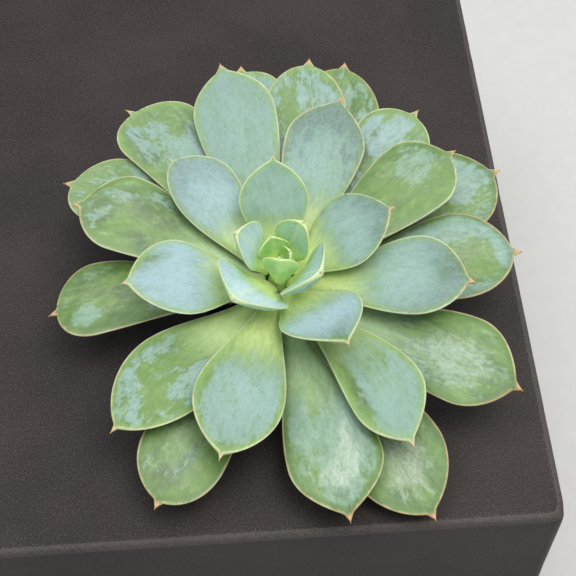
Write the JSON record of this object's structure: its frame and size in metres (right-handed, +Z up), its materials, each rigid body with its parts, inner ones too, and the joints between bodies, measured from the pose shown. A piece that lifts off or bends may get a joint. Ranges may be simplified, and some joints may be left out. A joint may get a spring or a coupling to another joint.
{
  "type": "potted echeveria",
  "caption": "Low succulent rosette of pointed, fleshy, bloom-covered leaves on a short stem, growing from a small soil pocket in the top of a heavy, dark, square block planter.",
  "frame": {"origin": "middle of the planter's underside", "axes": "+Z up, +X and +Y along the planter's sides; -Y is the side that the picture looks from"},
  "size_m": [0.2, 0.2031, 0.1472],
  "materials": {
    "planter": "charcoal cast block, matte, fine speckle, edges worn a little lighter",
    "soil": "dark potting mix with small grit",
    "stem": "pale corky stem with leaf scars",
    "heart": "fresh green, satin, pale cream margins",
    "inner_leaf": "thick powdery blue-grey bloom, cream margins, pink points",
    "middle_leaf": "powdery blue-green bloom, cream margins, pink points",
    "outer_leaf": "green with patchy bloom, rubbed glossy in places, cream margins, pink points"
  },
  "bodies": {
    "root": {"planter": "planter", "soil": "soil", "stem": "stem", "heart": "heart", "leaf_01": "inner_leaf", "leaf_02": "inner_leaf", "leaf_03": "inner_leaf", "leaf_04": "inner_leaf", "leaf_05": "middle_leaf", "leaf_06": "middle_leaf", "leaf_07": "middle_leaf", "leaf_08": "middle_leaf", "leaf_09": "outer_leaf", "leaf_10": "outer_leaf", "leaf_11": "outer_leaf", "leaf_12": "outer_leaf", "leaf_13": "outer_leaf", "leaf_14": "outer_leaf", "leaf_15": "outer_leaf", "leaf_16": "outer_leaf", "leaf_17": "outer_leaf", "leaf_18": "outer_leaf", "leaf_19": "outer_leaf", "leaf_20": "outer_leaf", "leaf_21": "outer_leaf", "leaf_22": "outer_leaf", "leaf_23": "outer_leaf", "leaf_24": "outer_leaf", "leaf_25": "outer_leaf", "leaf_26": "outer_leaf", "leaf_27": "outer_leaf", "leaf_28": "outer_leaf", "leaf_29": "outer_leaf", "leaf_30": "outer_leaf"}
  },
  "joints": []
}
